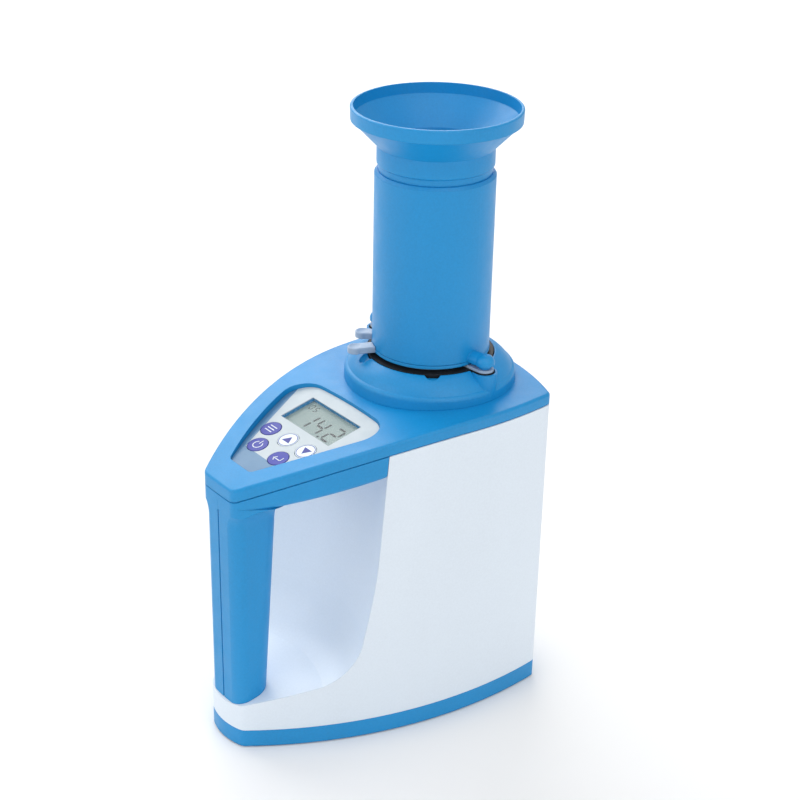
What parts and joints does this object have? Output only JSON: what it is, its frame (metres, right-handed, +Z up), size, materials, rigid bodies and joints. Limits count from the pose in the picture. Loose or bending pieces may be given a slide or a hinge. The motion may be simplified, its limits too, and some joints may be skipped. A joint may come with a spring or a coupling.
{
  "type": "grain moisture meter",
  "caption": "Bench grain moisture meter: tapered housing with front grip, tilted keypad and display, lift-off drop tube with squeeze shutters, and loading funnel.",
  "frame": {"origin": "centre of the bounding box on the floor", "axes": "+Z up, the operator stands at -Y facing +Y, +X to the operator's right"},
  "size_m": [0.1172, 0.1832, 0.3242],
  "materials": {
    "blue_plastic": "satin moulded, fine grain",
    "white_plastic": "satin moulded",
    "grey_plastic": "satin moulded",
    "black_plastic": "matt",
    "panel_film": "fine matt film",
    "key_blue": "fine matt film",
    "key_white": "fine matt film",
    "display_glass": "clear, slight tint",
    "circuit_board": "solder mask",
    "chip": "matt",
    "steel": "zinc plated",
    "aluminium": "machined",
    "natural_plastic": "turned",
    "battery_wrap": "printed sleeve",
    "rubber": "matt"
  },
  "bodies": {
    "housing": {"base_screws": "steel", "base_tray": "blue_plastic", "battery_box": "black_plastic", "battery_cells": "battery_wrap", "battery_contacts": "steel", "beam_screws": "steel", "board_chips": "chip", "board_screws": "steel", "body_shell": "white_plastic", "cell_bracket": "aluminium", "centre_electrode": "aluminium", "cover_screws": "steel", "cup_carrier": "natural_plastic", "display_module": "black_plastic", "display_window": "display_glass", "electrode_insulator": "natural_plastic", "feet": "rubber", "grip_screws": "steel", "handle_left": "blue_plastic", "handle_right": "blue_plastic", "key_domes": "steel", "keypad_overlay": "panel_film", "load_cell": "aluminium", "main_circuit_board": "circuit_board", "mouth_collar": "blue_plastic", "outer_electrode": "aluminium", "temperature_probe": "steel", "top_cover": "blue_plastic"},
    "sample_tube": {"drop_tube": "blue_plastic", "gate_plate": "black_plastic", "pivot_pins": "steel", "thumb_rest": "grey_plastic"},
    "trigger": {"trigger_ring": "blue_plastic", "trigger_tab": "grey_plastic", "drive_pins": "steel"},
    "front_shutter": {"shutter_front": "grey_plastic"},
    "rear_shutter": {"shutter_rear": "grey_plastic"},
    "loading_funnel": {"funnel": "blue_plastic"},
    "battery_door": {"battery_door": "blue_plastic"},
    "key_menu": {"key_menu": "key_blue"},
    "key_up": {"key_up": "key_white"},
    "key_down": {"key_down": "key_white"},
    "key_power": {"key_power": "key_blue"},
    "key_enter": {"key_enter": "key_blue"}
  },
  "joints": [
    {"name": "tube_lift", "type": "slide", "parent": "housing", "child": "sample_tube", "axis": [0, 0, 1], "range_m": [0, 0.06]},
    {"name": "funnel_lift", "type": "slide", "parent": "sample_tube", "child": "loading_funnel", "axis": [0, 0, 1], "range_m": [0, 0.04]},
    {"name": "trigger_squeeze", "type": "hinge", "parent": "sample_tube", "child": "trigger", "pos_m": [0, 0.044, 0.193], "axis": [0, 0, -1], "range_deg": [0, 10], "stiffness_Nm_per_rad": 0.2},
    {"name": "front_shutter_swing", "type": "hinge", "parent": "sample_tube", "child": "front_shutter", "pos_m": [0.03871, 0.04875, 0.1912], "axis": [0, 0, 1], "range_deg": [0, 47]},
    {"name": "rear_shutter_swing", "type": "hinge", "parent": "sample_tube", "child": "rear_shutter", "pos_m": [-0.03871, 0.03925, 0.1912], "axis": [0, 0, 1], "range_deg": [0, 47]},
    {"name": "battery_door_slide", "type": "slide", "parent": "housing", "child": "battery_door", "axis": [0, 1, 0], "range_m": [0, 0.008]},
    {"name": "menu_key_press", "type": "slide", "parent": "housing", "child": "key_menu", "axis": [0, 0.2223, -0.975], "range_m": [0, 0.0005], "stiffness_N_per_m": 800},
    {"name": "up_key_press", "type": "slide", "parent": "housing", "child": "key_up", "axis": [0, 0.2223, -0.975], "range_m": [0, 0.0005], "stiffness_N_per_m": 800},
    {"name": "down_key_press", "type": "slide", "parent": "housing", "child": "key_down", "axis": [0, 0.2223, -0.975], "range_m": [0, 0.0005], "stiffness_N_per_m": 800},
    {"name": "power_key_press", "type": "slide", "parent": "housing", "child": "key_power", "axis": [0, 0.2223, -0.975], "range_m": [0, 0.0005], "stiffness_N_per_m": 800},
    {"name": "enter_key_press", "type": "slide", "parent": "housing", "child": "key_enter", "axis": [0, 0.2223, -0.975], "range_m": [0, 0.0005], "stiffness_N_per_m": 800}
  ],
  "couplings": [
    {"joint": "front_shutter_swing", "follows": "trigger_squeeze", "ratio": 4.7},
    {"joint": "rear_shutter_swing", "follows": "trigger_squeeze", "ratio": 4.7}
  ]
}
